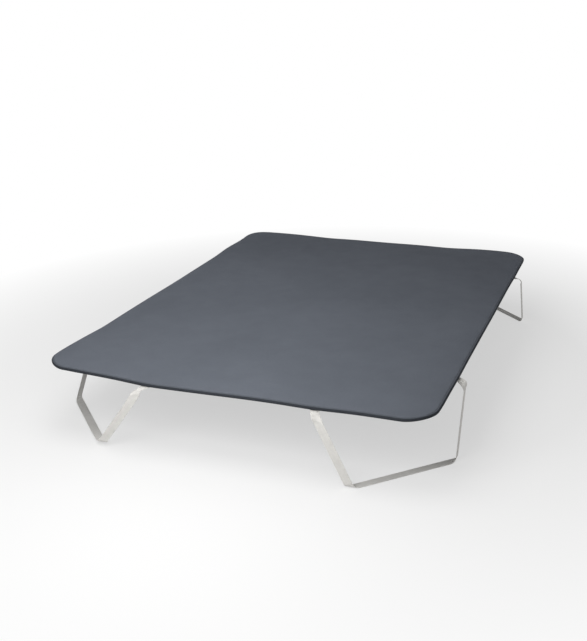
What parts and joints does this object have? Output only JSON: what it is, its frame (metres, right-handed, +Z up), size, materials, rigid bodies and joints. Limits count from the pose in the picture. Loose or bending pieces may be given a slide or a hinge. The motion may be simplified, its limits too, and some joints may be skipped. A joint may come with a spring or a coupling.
{
  "type": "grounding mat",
  "caption": "Queen-size conductive bed mat: thin foam pad in a charcoal leatherette skin with rolled edges, rounded corners and elastic corner straps.",
  "frame": {"origin": "middle of the flat underside, where the mat lies on the mattress", "axes": "+Z up out of the mat's top, +Y from the foot end to the head end, +X to the right seen from the foot end"},
  "size_m": [1.5816, 2.09, 0.2726],
  "materials": {
    "leatherette": "carbon-loaded PU leatherette, fine grain, satin",
    "foam": "closed-cell foam sheet, matt",
    "grip_cloth": "non-slip dotted cloth, matt",
    "elastic": "white woven elastic webbing",
    "nickel": "nickel-plated brass, bright",
    "fibre": "dark fibre washer"
  },
  "bodies": {
    "mat": {"top_skin": "leatherette", "foam_core": "foam", "underside_panel": "grip_cloth", "snap_stud": "nickel", "snap_post": "nickel", "snap_washer": "fibre", "foot_left_end_tab": "elastic", "foot_left_side_tab": "elastic", "foot_left_end_patch": "leatherette", "foot_left_side_patch": "leatherette", "foot_right_end_tab": "elastic", "foot_right_side_tab": "elastic", "foot_right_end_patch": "leatherette", "foot_right_side_patch": "leatherette", "head_left_end_tab": "elastic", "head_left_side_tab": "elastic", "head_left_end_patch": "leatherette", "head_left_side_patch": "leatherette", "head_right_end_tab": "elastic", "head_right_side_tab": "elastic", "head_right_end_patch": "leatherette", "head_right_side_patch": "leatherette"},
    "foot_left_loop": {"foot_left_strap": "elastic"},
    "foot_right_loop": {"foot_right_strap": "elastic"},
    "head_left_loop": {"head_left_strap": "elastic"},
    "head_right_loop": {"head_right_strap": "elastic"}
  },
  "joints": [
    {"name": "foot_left_swing", "type": "hinge", "parent": "mat", "child": "foot_left_loop", "pos_m": [-0.54094, -0.79494, -0.00764], "axis": [-0.7071, 0.7071, 0], "range_deg": [-108, 60]},
    {"name": "foot_right_swing", "type": "hinge", "parent": "mat", "child": "foot_right_loop", "pos_m": [0.57198, -0.82598, -0.00764], "axis": [-0.7071, -0.7071, 0], "range_deg": [-102, 68]},
    {"name": "head_left_swing", "type": "hinge", "parent": "mat", "child": "head_left_loop", "pos_m": [-0.54094, 0.79494, -0.00764], "axis": [0.7071, 0.7071, 0], "range_deg": [-108, 60]},
    {"name": "head_right_swing", "type": "hinge", "parent": "mat", "child": "head_right_loop", "pos_m": [0.57198, 0.82598, -0.00764], "axis": [0.7071, -0.7071, 0], "range_deg": [-102, 68]}
  ]
}
